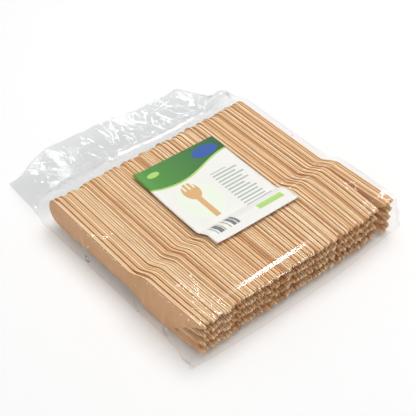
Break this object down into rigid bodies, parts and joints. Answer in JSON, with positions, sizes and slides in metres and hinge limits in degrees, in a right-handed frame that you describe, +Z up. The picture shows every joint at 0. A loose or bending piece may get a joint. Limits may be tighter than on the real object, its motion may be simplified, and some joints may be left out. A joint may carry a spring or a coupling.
{
  "type": "wooden fork pack",
  "caption": "Flat wooden forks stacked on edge in a clear film bag with a folded-flat end flap and a printed paper label on top.",
  "frame": {"origin": "middle of the box that the pack fills, on the surface it lies on", "axes": "+X along the row of forks, +Y from the tines to the handles and the bag's flap, +Z up"},
  "size_m": [0.188, 0.229, 0.034],
  "materials": {
    "birch": "bare sanded birch, warm edges with fine grain",
    "film": "clear glossy polypropylene film, creased",
    "label_paper": "white semi-gloss paper printed with plain fields of colour"
  },
  "bodies": {
    "root": {"fork_pair_01": "birch", "fork_pair_02": "birch", "fork_pair_03": "birch", "fork_pair_04": "birch", "fork_pair_05": "birch", "fork_pair_06": "birch", "fork_pair_07": "birch", "fork_pair_08": "birch", "fork_pair_09": "birch", "fork_pair_10": "birch", "fork_pair_11": "birch", "fork_pair_12": "birch", "fork_pair_13": "birch", "fork_pair_14": "birch", "fork_pair_15": "birch", "fork_pair_16": "birch", "fork_pair_17": "birch", "fork_pair_18": "birch", "fork_pair_19": "birch", "fork_pair_20": "birch", "fork_pair_21": "birch", "fork_pair_22": "birch", "fork_pair_23": "birch", "fork_pair_24": "birch", "fork_pair_25": "birch", "fork_pair_26": "birch", "fork_pair_27": "birch", "fork_pair_28": "birch", "fork_pair_29": "birch", "fork_pair_30": "birch", "fork_pair_31": "birch", "fork_pair_32": "birch", "fork_pair_33": "birch", "fork_pair_34": "birch", "fork_pair_35": "birch", "fork_pair_36": "birch", "fork_pair_37": "birch", "fork_pair_38": "birch", "fork_pair_39": "birch", "fork_pair_40": "birch", "fork_pair_41": "birch", "fork_pair_42": "birch", "fork_pair_43": "birch", "fork_pair_44": "birch", "fork_pair_45": "birch", "fork_pair_46": "birch", "fork_pair_47": "birch", "fork_pair_48": "birch", "fork_pair_49": "birch", "fork_pair_50": "birch", "film_bag": "film", "label": "label_paper"}
  },
  "joints": []
}
